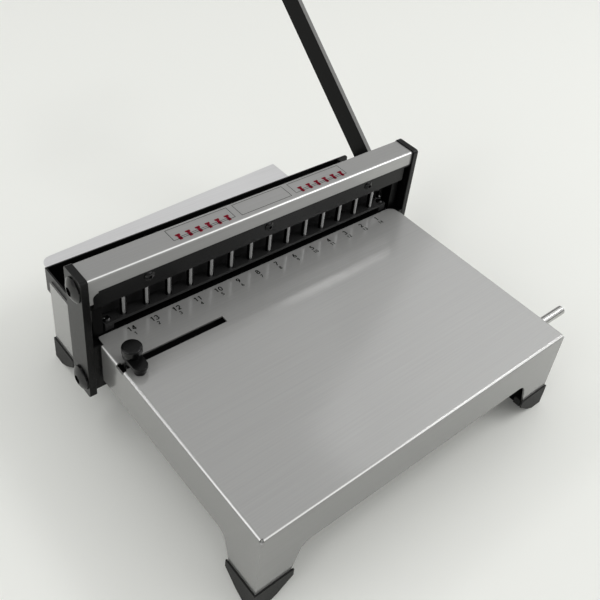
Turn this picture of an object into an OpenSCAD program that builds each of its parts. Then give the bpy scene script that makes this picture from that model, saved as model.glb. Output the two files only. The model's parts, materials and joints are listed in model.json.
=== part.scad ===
// Hand-lever binding punch: a folded steel table, a punching head with a row of
// round punches, a cranked drive shaft and a side lever. Millimetres, +Z up.
// The part's origin is the middle of its box on the floor. Inside the file, X runs
// from the table's left side, Y from its front edge and Z from its top face.

/* [Table] */
// Width of the table across the machine
table_w = 348; // [342:1:400]
// Depth of the table from its front edge to the punching throat
table_d = 230; // [200:1:280]
// Height of the table's top face above the floor
table_h = 94; // [90:1:120]
// Thickness of the folded stainless sheet
sheet_t = 1.6; // [1.2:0.1:2]
// Outside radius of the sheet's bends
bend_r = 2.6; // [2.2:0.1:4]
// Height of the skirts under the top face
skirt_h = 42; // [36:1:48]
// Width of a leg where it leaves the skirt
leg_top_w = 42; // [38:1:48]
// Width of a leg at its lower end
leg_foot_w = 30; // [26:1:31]
// Radius of the fillet between skirt and leg
leg_fillet_r = 12; // [4:1:16]
// Radius of the top face's rear right corner
corner_r = 8; // [3:1:12]
// Radius of the top face's rear left corner
left_corner_r = 2; // [1:0.5:6]
// How far the side skirts stop short of the throat
skirt_setback = 10; // [8:1:14]
// Depth of the rear base behind the head
rear_base_d = 62; // [56:1:80]
// Inset of the rear base's front web from the end plates' edges
base_flange_in = 3; // [2:0.5:5]
// Drop of that web's top edge below the table's top face
web_top = 3; // [2:0.5:5]

/* [Feet] */
// Height of a rubber foot
foot_h = 24.5; // [22:0.5:30]
// Length of a foot along each side of its corner
foot_len = 37; // [35:1:42]
// How far a foot stands proud of the sheet
foot_proud = 1.5; // [1:0.5:4]
// Thickness of rubber under the leg's end
foot_floor_t = 13; // [12.5:0.5:15]
// Height above the floor at which a foot's inner end starts to slope
foot_knee_h = 16.5; // [14:0.5:20]
// Height above the floor of the bend in that slope
foot_bend_h = 5; // [3:0.5:7]
// Length of a foot at that bend
foot_bend_len = 22.5; // [20:0.5:26]
// Length of a foot's sole
foot_sole_len = 12.5; // [11:0.5:16]
// Thickness of rubber inside the leg's angle, from the corner
foot_wall = 8; // [6:0.5:10]

/* [Head] */
// Thickness of the two end plates
plate_t = 6.5; // [5:0.5:10]
// Depth of the punching head, front to back
head_d = 26; // [25:0.5:30]
// How far the end plates stand out in front of the head
plate_lead = 2; // [1:0.5:4]
// Height of the end plates above the table's top face
plate_top = 72; // [70:1:84]
// Depth of the end plates below the table's top face
plate_drop = 60; // [58:1:64]
// Rounding of the end plates' corners
plate_r = 3; // [1:0.5:5]
// Gap between the table's side and the end plate's inner face
plate_gap = 5.5; // [4.5:0.5:7]
// How far the head's front stands over the table's rear edge
head_overlap = 6; // [4:0.5:8]
// Depth of the tie bar under the cover, front to back
tie_d = 12; // [11:0.5:13]
// Height of the tie bar's screws above the table's top face
tie_screw_z = 57.5; // [56:0.5:60]
// Height of the tie bar below its screws' axis
tie_under = 4.5; // [4:0.1:5]
// Thickness of the cover sheet
cover_t = 1.5; // [1:0.1:2]
// Step from the cover's top down from the end plates' top
cover_step = 1.5; // [0.5:0.5:3]
// Height of the cover's front lip
lip_h = 16; // [12:1:18]
// Height of the cover's rear lip
rear_lip_h = 14; // [10:1:18]
// Height of the small leg at the left end of the front lip
lip_leg_h = 10; // [6:1:14]
// Width of that leg
lip_leg_w = 3.8; // [3:0.2:4]
// Radius in the corner between lip and leg
lip_r = 5; // [3:0.5:8]
// Depth of the black apron below the table's top face
apron_drop = 52; // [48:1:55]
// Depth of the apron's flange under the table
apron_flange_d = 14; // [10:1:18]

/* [Punches] */
// Least distance from the table's side to the first punch
pin_margin = 28; // [26:1:36]
// Spacing of the punches
pin_pitch = 22; // [18:0.5:22]
// Diameter of a punch
pin_d = 6; // [5:0.5:7]
// Punch row behind the head's front
pin_row = 13.6; // [13:0.2:15]
// Height of the paper slot above the table's top face
slot_h = 4.4; // [4.2:0.2:5]
// How far the die's face lies below the table's top face
die_step = 0.5; // [0.2:0.1:1]
// Thickness of the die bar
die_h = 23; // [20:1:25]
// Widening of a die hole's relief, all round
die_relief = 1; // [0.5:0.1:1.5]
// Depth of a die hole before its relief
die_land = 8; // [6:1:10]
// Thickness of the guide bar's ledge, through which the punches pass
guide_h = 3; // [2.6:0.2:4]
// How far the ledge's front stands before the punches' axes
guide_lead = 4.6; // [4:0.1:5]
// Thickness of the guide bar's upright, behind the ram
guide_wall_t = 2; // [1.6:0.2:2.2]
// How far the upright reaches up behind the ram at rest
guide_wall_over = 8; // [6:1:10]
// Width of the groove along the upright's foot
relief_w = 4; // [3:0.5:4.5]
// Depth of that groove
relief_d = 1.8; // [1:0.2:2]
// Distance from a draw bar to the guide bar's end
guide_end_gap = 3; // [2:0.5:4]
// Length of the guide bar's end seats
guide_seat = 8; // [7:1:10]
// Gap between the guide bar's ledge and the ram at the end of the stroke
ram_lift = 15.6; // [14:0.2:17]
// How far the ram's middle lies behind the punches
ram_shift = 0.9; // [0.6:0.1:1.2]
// Gap between the ram's top and the tie bar at rest
ram_gap = 0.8; // [0.5:0.1:1.5]
// Depth of the ram, front to back
ram_d = 17; // [16:0.5:18]
// Depth of a punch in the ram
pin_seat = 11.5; // [8:0.5:12]
// How far a punch's tip stands inside the guide bar at rest
tip_inset = 0.4; // [0.2:0.1:1]
// Height of the ram below the strip's lower edge
strip_rise = 3.5; // [3:0.5:8]
// Distance of the strip's ends from the end plates
strip_in = 5; // [3:0.5:8]
// Thickness of the strip on the ram's front
strip_t = 3.4; // [3:0.2:3.8]
// Height of the strip's screws below its top
strip_screw_drop = 4.2; // [4:0.1:5]
// Spacing of the strip's three screws
strip_screw_gap = 124; // [100:2:140]

/* [Drive] */
// Drive shaft's axis below the table's top face
shaft_drop = 44; // [42:0.5:46]
// Drive shaft's axis behind the head's front
shaft_row = 10.5; // [10.4:0.1:13]
// Diameter of the drive shaft
shaft_d = 14; // [12:1:16]
// Throw of the cranks
crank_throw = 6.5; // [6:0.1:6.8]
// Diameter of the crank pins
crank_pin_d = 6; // [5:0.5:6]
// Thickness of the crank webs
crank_web_t = 3.4; // [3:0.1:3.6]
// Width of a draw bar across the machine
draw_w = 8.8; // [8:0.2:10]
// Depth of a draw bar, front to back
draw_d = 18; // [17.5:0.5:19]
// Draw bar's front behind the head's front
draw_row = 1; // [0.8:0.1:1.4]
// Gap between the table's rear edge and a draw bar's stem
stem_gap = 1; // [0.6:0.1:1.5]
// Length of the draw bars' screws inside the bars
draw_screw_hold = 12; // [10:1:16]
// Wall of the draw bar under the crank slot
draw_end = 5; // [4:0.5:6]
// Depth of the threaded holes in the shaft's ends
shaft_bore = 12; // [10:1:14]
// Gap between the shaft's left screw and the end plate
shaft_screw_gap = 0.4; // [0.3:0.1:0.8]
// Gap between a crank web and the bush's collar
web_gap = 0.2; // [0.1:0.05:0.4]
// Wall of a crank web outside its pin
web_margin = 0.5; // [0.3:0.1:0.8]
// Outside diameter of the shaft bushes
bush_d = 17.5; // [17:0.5:18]
// Thickness of the bushes' collars
bush_collar_t = 1; // [0.8:0.1:1.1]
// Diameter of the bushes' collars
bush_collar_d = 19.6; // [19:0.2:20]

/* [Lever] */
// Lean of the lever behind the upright at rest
lever_tilt = 50; // [40:1:52]
// Length of the lever from the shaft to the grip's axis
lever_len = 315; // [240:5:330]
// Width of the flat lever bar
lever_w = 26.5; // [20:0.5:28]
// Thickness of the flat lever bar
lever_t = 5.5; // [5:0.5:8]
// Diameter of the lever's eye on the shaft
lever_eye_d = 34; // [30:1:38]
// Thickness of the spacer between end plate and lever
lever_washer_t = 6.2; // [4:0.1:8]
// Diameter of that spacer
lever_washer_d = 26; // [22:1:30]
// Diameter of the steel rod inside the grip
grip_rod_d = 10; // [8:1:12]
// Length of the grip
grip_len = 112; // [90:2:130]
// Diameter of the grip
grip_d = 28; // [24:1:32]
// Thickness of rubber over the rod's end
grip_end_t = 6; // [4:1:10]
// Depth of the grip's finger grooves
grip_groove = 1.2; // [0.5:0.1:2]
// Spacing of the grip's finger grooves
grip_pitch = 12; // [10:1:16]
// Radius of a groove's section
grip_groove_r = 2; // [2:0.5:3]
// Rounding of the grip's ends
grip_round = 4; // [2:0.5:6]
// Thickness of the shoulder between lever and grip
grip_shoulder_t = 1.5; // [1:0.5:4]
// Diameter of that shoulder
grip_shoulder_d = 15; // [14:1:20]

/* [Side guide] */
// Side guide's slot in front of the throat
guide_slot_row = 40.1; // [34:0.1:60]
// Width of the slot
guide_slot_w = 7.8; // [7:0.2:9]
// Length of the slot from the table's left side
guide_slot_len = 102; // [80:1:140]
// Width of the square notch where the slot leaves the side
guide_notch_w = 11; // [10:0.5:13]
// Place of the side guide's stud from the table's left side at rest
guide_stud_x = 11.7; // [10:0.1:14]
// Diameter of the stud
guide_stud_d = 6; // [5:0.5:6.2]
// Width of the side guide's arm
guide_arm_w = 13; // [12:0.5:16]
// Distance from the stud to the stop post
guide_arm_len = 12; // [12:0.5:24]
// How far the arm runs on behind the stud
guide_arm_tail = 3; // [1:0.5:6]
// Thickness of the arm
guide_arm_t = 3.5; // [3:0.5:6]
// Height of the arm above the table
guide_arm_z = 5; // [4:0.5:8]
// Diameter of the stop post
guide_post_d = 10; // [8:0.5:11]
// How far the stud's head reaches past the slot's edges
stud_head_over = 3; // [2:0.5:4]
// Thickness of the stud's head
stud_head_t = 3; // [2:0.5:3.5]
// Gap between the side guide and the table's faces
guide_lift = 0.3; // [0.2:0.05:0.5]
// Inside depth of the channel under the slot
channel_h = 6; // [5:0.5:8]
// How far the channel runs on past the slot's end
channel_past = 4; // [3.5:0.5:8]
// Width of the channel's flanges
channel_flange_w = 6; // [4:0.5:8]
// Thickness of the channel's sheet
channel_t = 1.2; // [1:0.1:1.5]
// Diameter of the clamp knob
knob_d = 17; // [15:0.5:20]
// Height of the clamp knob
knob_h = 10.5; // [9:0.5:14]
// Diameter of the knob's neck
knob_neck_d = 13; // [11:0.5:14]
// Height of the knob's neck
knob_neck_h = 3.5; // [2:0.5:5]
// Rounding of the knob's edges
knob_r = 1.5; // [0.5:0.5:2]
// Depth of the knob's bore
knob_bore = 7; // [6:0.5:8]
// Gap between the knob and the arm
knob_gap = 0.3; // [0.2:0.05:0.5]

/* [Support rod] */
// Diameter of the pull-out support rod
rod_d = 9; // [7:0.5:10]
// Length of the rod
rod_len = 150; // [140:1:180]
// How far the rod stands out of the right side at rest
rod_out = 41; // [20:1:60]
// Rod's axis behind the table's front edge
rod_row = 30; // [26:1:40]
// Rod's axis below the table's top face
rod_drop = 14; // [12:1:20]
// Diameter of the rod's stop collar
rod_collar_d = 15; // [13:0.5:17]
// Width of the collar
rod_collar_w = 8; // [6:1:10]
// Distance of the collar from the rod's inner end
rod_collar_in = 2; // [1:0.5:4]
// Chamfer of the rod's outer end
rod_chamfer = 1; // [0.5:0.5:2]
// Wall of the bracket round the rod
rod_wall = 5; // [4:0.5:7]
// Length of the bracket's flange
rod_flange = 12; // [10:1:16]
// Bracket's distance from the right side
rod_bracket_in = 18; // [14:1:24]
// Thickness of the bracket
rod_bracket_t = 3; // [2:0.5:4]

/* [Rear trough and shelf] */
// Depth of the trough's floor below the table's top face
trough_drop = 18; // [16:1:20]
// Height of the trough's rim above the table's top face
trough_top = 8.5; // [4:0.5:12]
// How far the trough stands behind the rear base
trough_over = 11; // [6:1:16]
// How far the trough's rear wall runs on past its right end
trough_tail = 15; // [6:1:16]
// Rounding of that wall's free corner
trough_r = 4; // [2:1:8]
// Thickness of the trough's sheet
trough_t = 1.5; // [1.2:0.1:2]
// Height of the trough's screws above its underside
trough_screw_rise = 8; // [7:0.5:9]
// Left end of the shelf from the table's left side
shelf_x0 = 7; // [4:1:20]
// Right end of the shelf from the table's left side
shelf_x1 = 285; // [240:1:340]
// Depth of the shelf at its left end
shelf_d0 = 22; // [18:1:30]
// Depth of the shelf at its right end
shelf_d1 = 37; // [30:1:50]
// Radius of the shelf's rear left corner
shelf_r = 9; // [4:1:12]
// Height of the flange that fastens the shelf
shelf_flange_h = 14; // [12:1:16]
// Thickness of the shelf's sheet
shelf_t = 1.6; // [1.2:0.1:2]
// Distance of the outer rivets from the shelf's ends
rivet_in = 30; // [20:1:40]
// Diameter of a rivet's shank
rivet_d = 4; // [3:0.5:5]
// Diameter of a rivet's head
rivet_head_d = 7.5; // [6.5:0.5:9]
// Height of a rivet's head
rivet_head_h = 1.6; // [1.2:0.1:2]

/* [Chip tray] */
// Distance of the chip tray from the table's sides
tray_side = 46; // [45:1:60]
// Height of the chip tray
tray_h = 30; // [20:1:30]
// Gap between the tray and the floor
tray_lift = 4; // [3:1:6]
// Thickness of the tray's sheet
tray_t = 1.2; // [1:0.1:1.5]
// Width of the tray's rims
tray_rim_w = 6; // [5:0.5:6]
// Width of the tray's pull
tray_pull_w = 70; // [50:2:100]
// Reach of the tray's pull
tray_pull_d = 10; // [8:1:14]
// Thickness of the tray's pull
tray_pull_t = 2; // [1.5:0.5:3]
// Distance of the tray's front from the head's front
tray_front_gap = 2; // [1:0.5:4]
// Gap between the tray's rear and the rear base
tray_rear_gap = 1.5; // [1:0.5:3]
// Gap between the tray and its runners
runner_gap = 0.3; // [0.2:0.05:0.5]
// Distance of the runners' front from the trough's front
runner_setback = 1; // [0.5:0.5:4]
// Thickness of the tray's runners
runner_t = 1.5; // [1.2:0.1:2]

/* [Fasteners and clearances] */
// Head diameter of the large button screws
big_head_d = 23; // [20:0.5:24]
// Head height of the large button screws
big_head_h = 5; // [4:0.5:7]
// Head diameter of the flush screw
sunk_head_d = 12; // [10:0.5:13]
// Depth of the flush screw's recess
sunk_head_h = 4; // [3:0.5:5]
// Shank diameter of the large button screws
big_shank_d = 6; // [5:0.5:7]
// Shank length of the large button screws
big_shank_len = 26; // [22:1:32]
// Head diameter of the small button screws
small_head_d = 9.5; // [8:0.5:10]
// Head height of the small button screws
small_head_h = 2.6; // [2:0.1:3]
// Shank diameter of the small button screws
small_shank_d = 5; // [4:0.5:5.5]
// Shank length of the small button screws
small_shank_len = 9; // [7:0.5:10]
// Radial clearance of a running fit
run_gap = 0.05; // [0.02:0.01:0.1]
// Gap between sheets that lie side by side
fit_gap = 0.2; // [0.1:0.05:0.3]
// Room past a screw's tip in its hole
tip_room = 0.5; // [0.3:0.1:1]
// Clearance between sliding faces
slide_gap = 0.4; // [0.3:0.05:0.6]
// Clearance between the lever's spacer and the end plate
washer_gap = 0.3; // [0.2:0.05:0.5]
// Clearance of a crank pin above and below in its slot
crank_gap = 0.5; // [0.4:0.05:0.6]

/* [Hidden] */
$fn = 64;

stainless = "#b4b4b1";
black_paint = "#1c1c1c";
rubber = "#161616";
bright_steel = "#c9c9c8";
bronze = "#a8834f";
tool_steel = "#282828";
zinc_sheet = "#8f9193";
// Overlap that joins two solids of one piece
tiny = 0.01;
// Overrun of a cut
over = 1;

// Table and rear base
leg_h = table_h - foot_floor_t;
skirt_end = table_d - skirt_setback;
head_y0 = table_d - head_overlap;
head_y1 = head_y0 + head_d;
plate_y0 = head_y0 - plate_lead;
rear_y = head_y1 + rear_base_d;
// Slope of a leg's inner edge, and the centre of the fillet above it
leg_lean = atan((leg_top_w - leg_foot_w) / (leg_h - skirt_h));
fillet_c = [leg_top_w + leg_fillet_r / tan((90 + leg_lean) / 2), -skirt_h - leg_fillet_r];

// Head, across the machine
plate_x0 = -plate_gap;
plate_x1 = table_w + plate_gap;
head_len = plate_x1 - plate_x0;
mid_x = table_w / 2;
axis_y = head_y0 + shaft_row;

// Head, upwards
cover_z1 = plate_top - cover_step;
cover_z0 = cover_z1 - cover_t;
lip_z0 = cover_z1 - lip_h;
tie_z0 = tie_screw_z - tie_under;
die_z1 = -die_step;
die_z0 = die_z1 - die_h;
guide_z0 = slot_h;
guide_z1 = guide_z0 + guide_h;
pin_y = head_y0 + pin_row;
pin_n = floor((table_w - 2 * pin_margin) / pin_pitch) + 1;
pin_x0 = mid_x - (pin_n - 1) * pin_pitch / 2;
pin_z0 = guide_z0 + tip_inset;
stroke = 2 * crank_throw * sin(lever_tilt);
ram_z0 = guide_z1 + stroke + ram_lift;
ram_z1 = tie_z0 - ram_gap;
ram_h = ram_z1 - ram_z0;
ram_x0 = plate_x0 + slide_gap;
ram_x1 = plate_x1 - slide_gap;
ram_y0 = pin_y - ram_d / 2 + ram_shift;
strip_z0 = ram_z0 + strip_rise;
strip_screw_z = ram_z1 - strip_screw_drop;

// Drive
shaft_z = -shaft_drop;
crank_y = axis_y - crank_throw * cos(lever_tilt);
crank_z = shaft_z + crank_throw * sin(lever_tilt);
web_d = 2 * (crank_throw + crank_pin_d / 2 + web_margin);
web1_x0 = plate_x0 + bush_collar_t + web_gap;
web1_x1 = web1_x0 + crank_web_t;
draw_x0 = web1_x1 + slide_gap;
draw_x1 = draw_x0 + draw_w;
web2_x0 = draw_x1 + slide_gap;
web2_x1 = web2_x0 + crank_web_t;
draw_y0 = head_y0 + draw_row;
draw_y1 = draw_y0 + draw_d;
stem_y0 = table_d + stem_gap;
jaw_z1 = die_z0 - slide_gap;
crank_slot_y1 = crank_y + crank_pin_d / 2 + slide_gap;
crank_slot_h = crank_pin_d + 2 * crank_gap;
draw_z0 = crank_z - crank_slot_h / 2 - draw_end;
guide_x0 = draw_x1 + guide_end_gap;
guide_x1 = table_w - guide_x0;
guide_y0 = pin_y - guide_lead;
guide_wall_y0 = ram_y0 + ram_d + slide_gap;
guide_y1 = guide_wall_y0 + guide_wall_t;
guide_wall_z1 = ram_z0 + guide_wall_over;
relief_y0 = guide_wall_y0 - relief_w;

// Lever
washer_x0 = plate_x1 + plate_t + washer_gap;
lever_x0 = washer_x0 + lever_washer_t;
lever_x1 = lever_x0 + lever_t;
grip_x0 = lever_x1 + grip_shoulder_t;
grip_x1 = grip_x0 + grip_len;
grip_y = axis_y + lever_len * sin(lever_tilt);
grip_z = shaft_z + lever_len * cos(lever_tilt);

// Side guide
guide_slot_y = table_d - guide_slot_row;
guide_post_y = guide_slot_y - guide_arm_len;
guide_arm_z1 = guide_arm_z + guide_arm_t;
stud_head_d = guide_slot_w + 2 * stud_head_over;

// Support rod
rod_x1 = table_w + rod_out;
rod_x0 = rod_x1 - rod_len;
bracket_x0 = table_w - rod_bracket_in;

// Rear trough and shelf
trough_x0 = sheet_t + fit_gap;
trough_x1 = table_w - trough_x0;
trough_y0 = head_y1 + sheet_t;
trough_y1 = rear_y + trough_over;

// Chip tray
tray_z0 = -table_h + tray_lift;
tray_z1 = tray_z0 + tray_h;
tray_w = table_w - 2 * tray_side;
tray_x0 = tray_side;
tray_y0 = head_y0 + tray_front_gap;
tray_y1 = rear_y - sheet_t - tray_rear_gap;

// Screws, rivets and their holes
big_hole_d = big_shank_d + 2 * run_gap;
small_hole_d = small_shank_d + 2 * run_gap;
rod_hole_d = rod_d + 2 * run_gap;
shaft_hole_d = shaft_d + 2 * run_gap;
stud_hole_d = guide_stud_d + 2 * run_gap;
pin_hole_d = pin_d + 2 * run_gap;
grip_hole_d = grip_rod_d + 2 * run_gap;
screw_row_x = [mid_x - strip_screw_gap, mid_x, mid_x + strip_screw_gap];
apron_screw_z = die_z0 + die_h / 2;
guide_seat_x = guide_x0 + guide_seat / 2;
guide_screw_y = (guide_y0 + relief_y0) / 2;
guide_screw_depth = small_shank_len;
draw_screw_x = (draw_x0 + draw_x1) / 2;
draw_screw_y = (stem_y0 + draw_y1) / 2;
draw_screw_z = ram_z1 - small_head_h;
draw_screw_len = ram_h + draw_screw_hold;
trough_screw_z = -trough_drop + trough_screw_rise;
shelf_rivet_x = [shelf_x0 + rivet_in, (shelf_x0 + shelf_x1) / 2, shelf_x1 - rivet_in];
shelf_rivet_z = -shelf_flange_h / 2;

// The part's box, from which the origin is set
box_x0 = plate_x0 - plate_t - big_head_h - shaft_screw_gap;
box_x1 = grip_x1;
box_y0 = -foot_proud;
box_y1 = grip_y + grip_d / 2;

module at_origin() {
    translate([-(box_x0 + box_x1) / 2, -(box_y0 + box_y1) / 2, table_h]) children();
}

// A right-hand copy of something made for the left side of the machine
module right_side() {
    translate([table_w, 0, 0]) mirror([1, 0, 0]) children();
}

module both_sides() {
    children();
    right_side() children();
}

// A box given by its two corners
module box(p, q) {
    translate(p) cube(q - p);
}

// A round bar along X, from x0 to x1 on the axis (y, z)
module bar_x(x0, x1, y, z, d) {
    translate([x0, y, z]) rotate([0, 90, 0]) cylinder(h = x1 - x0, d = d);
}

function arc(c, r, a0, a1, n = 8) =
    [for (i = [0 : n]) c + r * [cos(a0 + (a1 - a0) * i / n), sin(a0 + (a1 - a0) * i / n)]];

// Lower edge of a skirt at its near leg, from the leg's outside to the end of the fillet
function leg_edge() = concat(
    [[0, -leg_h], [leg_foot_w, -leg_h]],
    arc(fillet_c, leg_fillet_r, 180 - leg_lean, 90)
);
function flipped(edge, len) = [for (i = [len(edge) - 1 : -1 : 0]) [len - edge[i][0], edge[i][1]]];

// Skirt with a leg at both ends, in its own plane
module two_leg_skirt(len, top) {
    polygon(concat([[0, top]], leg_edge(), flipped(leg_edge(), len), [[len, top]]));
}

// Skirt with one leg, at its near end
module one_leg_skirt(len, top) {
    polygon(concat([[0, top]], leg_edge(), [[len, -skirt_h], [len, top]]));
}

// Stands an outline of the front's plane upright, with its outer face at y
module front_sheet(y, t) {
    translate([0, y + t, 0]) rotate([90, 0, 0]) linear_extrude(t) children();
}

// Stands an outline of a side's plane upright, with its outer face at x
module side_sheet(x, t) {
    translate([x, 0, 0]) rotate([90, 0, 90]) linear_extrude(t) children();
}

// Quarter-round bend along +X, rounded towards -Y and +Z
module bend(len, r, t) {
    intersection() {
        rotate([0, 90, 0]) difference() {
            cylinder(h = len, r = r);
            translate([0, 0, -over]) cylinder(h = len + 2 * over, r = r - t);
        }
        translate([0, -r, 0]) cube([len, r, r]);
    }
}

// Domed screw head with a hexagon socket, its seat at z = 0 and its shank below
module button_screw(head_d, head_h, shank_d, shank_len) {
    rim = head_h / 4;
    socket_d = 0.38 * head_d;
    socket_z = 0.35 * head_h;
    dome_r = (pow(head_d / 2, 2) + pow(head_h - rim, 2)) / (2 * (head_h - rim));
    difference() {
        union() {
            cylinder(h = rim, d = head_d);
            intersection() {
                translate([0, 0, head_h - dome_r]) sphere(r = dome_r);
                translate([0, 0, rim]) cylinder(h = head_h, d = head_d);
            }
            translate([0, 0, -shank_len]) cylinder(h = shank_len + rim / 2, d = shank_d);
        }
        translate([0, 0, socket_z]) cylinder(h = head_h, d = socket_d, $fn = 6);
    }
}

// Flat-headed screw that lies flush in its recess
module sunk_screw() {
    head_h = sunk_head_h - fit_gap;
    difference() {
        union() {
            cylinder(h = head_h, d = sunk_head_d);
            translate([0, 0, sunk_head_h - big_shank_len])
                cylinder(h = big_shank_len - over, d = big_shank_d);
        }
        translate([0, 0, head_h / 4]) cylinder(h = head_h, d = sunk_head_d / 2, $fn = 6);
    }
}

module small_screw() {
    button_screw(small_head_d, small_head_h, small_shank_d, small_shank_len);
}

// Seats a screw on a plane across X, its head towards -X
module screw_left(x, y, z) {
    translate([x, y, z]) rotate([0, -90, 0]) children();
}

// Seats a screw on a plane across Y, its head towards the front
module screw_front(x, y, z) {
    translate([x, y, z]) rotate([90, 0, 0]) children();
}

// Hole for a small screw from the front, from y on into the piece
module small_hole_front(x, y, z) {
    screw_front(x, y, z) translate([0, 0, -small_shank_len - tip_room])
        cylinder(h = small_shank_len + tip_room + over, d = small_hole_d);
}

module table_top() {
    difference() {
        translate([0, 0, -sheet_t]) linear_extrude(sheet_t) polygon(concat(
            [[bend_r, bend_r], [table_w - bend_r, bend_r]],
            arc([table_w - bend_r - corner_r, table_d - corner_r], corner_r, 0, 90),
            arc([bend_r + left_corner_r, table_d - left_corner_r], left_corner_r, 90, 180)
        ));
        guide_slot();
    }
}

// Slot of the side guide, open to the left side through a square notch
module guide_slot() {
    depth = bend_r + over;
    box([-over, guide_slot_y - guide_slot_w / 2, -depth],
        [guide_slot_len, guide_slot_y + guide_slot_w / 2, over]);
    box([-over, guide_slot_y - guide_notch_w / 2, -depth],
        [1.5 * bend_r, guide_slot_y + guide_notch_w / 2, over]);
}

module table() {
    color(stainless) at_origin() {
        table_top();
        translate([bend_r, bend_r, -bend_r]) bend(table_w - 2 * bend_r, bend_r, sheet_t);
        front_sheet(0, sheet_t) two_leg_skirt(table_w, -bend_r);
        difference() {
            union() {
                translate([bend_r, skirt_end, -bend_r]) rotate([0, 0, -90])
                    bend(skirt_end - bend_r, bend_r, sheet_t);
                side_sheet(0, sheet_t) one_leg_skirt(skirt_end, -bend_r);
            }
            guide_slot();
        }
        translate([table_w - bend_r, bend_r, -bend_r]) rotate([0, 0, 90])
            bend(skirt_end - bend_r, bend_r, sheet_t);
        difference() {
            side_sheet(table_w - sheet_t, sheet_t) one_leg_skirt(skirt_end, -bend_r);
            bar_x(table_w - 2 * sheet_t, table_w + over, rod_row, -rod_drop, rod_hole_d);
        }
    }
}

// One side of the rear base, with the leg at its rear end
module rear_base_side() {
    translate([0, rear_y, 0]) mirror([0, 1, 0]) side_sheet(0, sheet_t)
        one_leg_skirt(rear_base_d, 0);
}

module rear_base() {
    color(stainless) at_origin() {
        both_sides() rear_base_side();
        difference() {
            box([plate_x0 - plate_t + base_flange_in, head_y1, -plate_drop + base_flange_in],
                [plate_x1 + plate_t - base_flange_in, head_y1 + sheet_t, -web_top]);
            for (x = screw_row_x) trough_screw_hole(x);
        }
        front_sheet(rear_y - sheet_t, sheet_t) two_leg_skirt(table_w, -trough_drop);
    }
}

// Rubber foot of the front left corner, with a pocket for the leg's angle
module corner_foot() {
    inner = foot_len - foot_proud;
    profile = [
        [-foot_proud, -table_h], [foot_sole_len - foot_proud, -table_h],
        [foot_bend_len - foot_proud, -table_h + foot_bend_h], [inner, -table_h + foot_knee_h],
        [inner, -table_h + foot_h], [-foot_proud, -table_h + foot_h]
    ];
    difference() {
        intersection() {
            front_sheet(-foot_proud, foot_len) polygon(profile);
            side_sheet(-foot_proud, foot_len) polygon(profile);
        }
        box([0, 0, -leg_h], [foot_len, sheet_t, 0]);
        box([0, 0, -leg_h], [sheet_t, foot_len, 0]);
        box([foot_wall, foot_wall, -leg_h], [foot_len, foot_len, 0]);
    }
}

module rear_left() {
    translate([0, rear_y, 0]) mirror([0, 1, 0]) children();
}

module foot_front_left() {
    color(rubber) at_origin() corner_foot();
}

module foot_front_right() {
    color(rubber) at_origin() right_side() corner_foot();
}

module foot_rear_left() {
    color(rubber) at_origin() rear_left() corner_foot();
}

module foot_rear_right() {
    color(rubber) at_origin() right_side() rear_left() corner_foot();
}

// End plate of the left side, with holes for the tie bar's screw and the shaft's bush
module end_plate() {
    z0 = -plate_drop;
    difference() {
        side_sheet(plate_x0 - plate_t, plate_t) polygon(concat(
            arc([plate_y0 + plate_r, z0 + plate_r], plate_r, 180, 270),
            arc([head_y1 - plate_r, z0 + plate_r], plate_r, 270, 360),
            arc([head_y1 - plate_r, plate_top - plate_r], plate_r, 0, 90),
            arc([plate_y0 + plate_r, plate_top - plate_r], plate_r, 90, 180)
        ));
        bar_x(plate_x0 - plate_t - over, plate_x0 + over, axis_y, tie_screw_z, big_hole_d);
        bar_x(plate_x0 - plate_t - over, plate_x0 + over, axis_y, shaft_z, bush_d + 2 * run_gap);
    }
}

module left_end_plate() {
    color(black_paint) at_origin() end_plate();
}

// The right plate also has a recess for the tie bar's flush screw, because the lever passes it
module right_end_plate() {
    color(black_paint) at_origin() right_side() difference() {
        end_plate();
        bar_x(plate_x0 - plate_t - over, plate_x0 - plate_t + sunk_head_h, axis_y, tie_screw_z,
            sunk_head_d + 2 * slide_gap);
    }
}

module tie_bar() {
    color(black_paint) at_origin() difference() {
        box([plate_x0, axis_y - tie_d / 2, tie_z0], [plate_x1, axis_y + tie_d / 2, cover_z0]);
        both_sides() bar_x(plate_x0 - over, plate_x0 + big_shank_len, axis_y, tie_screw_z, big_hole_d);
    }
}

module tie_bar_screws() {
    color(black_paint) at_origin() {
        screw_left(plate_x0 - plate_t, axis_y, tie_screw_z)
            button_screw(big_head_d, big_head_h, big_shank_d, big_shank_len);
        right_side() screw_left(plate_x0 - plate_t + sunk_head_h, axis_y, tie_screw_z) sunk_screw();
    }
}

module head_cover() {
    color(stainless) at_origin() {
        box([plate_x0, head_y0 + bend_r, cover_z0], [plate_x1, head_y1 - bend_r, cover_z1]);
        translate([plate_x0, head_y0 + bend_r, cover_z1 - bend_r]) bend(head_len, bend_r, cover_t);
        translate([plate_x1, head_y1 - bend_r, cover_z1 - bend_r]) rotate([0, 0, 180])
            bend(head_len, bend_r, cover_t);
        front_sheet(head_y0, cover_t) polygon(concat(
            [[plate_x1, lip_z0], [plate_x1, cover_z1 - bend_r], [plate_x0, cover_z1 - bend_r],
                [plate_x0, lip_z0 - lip_leg_h], [plate_x0 + lip_leg_w, lip_z0 - lip_leg_h]],
            arc([plate_x0 + lip_leg_w + lip_r, lip_z0 - lip_r], lip_r, 180, 90)
        ));
        box([plate_x0, head_y1 - cover_t, cover_z1 - rear_lip_h], [plate_x1, head_y1, cover_z1 - bend_r]);
    }
}

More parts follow.
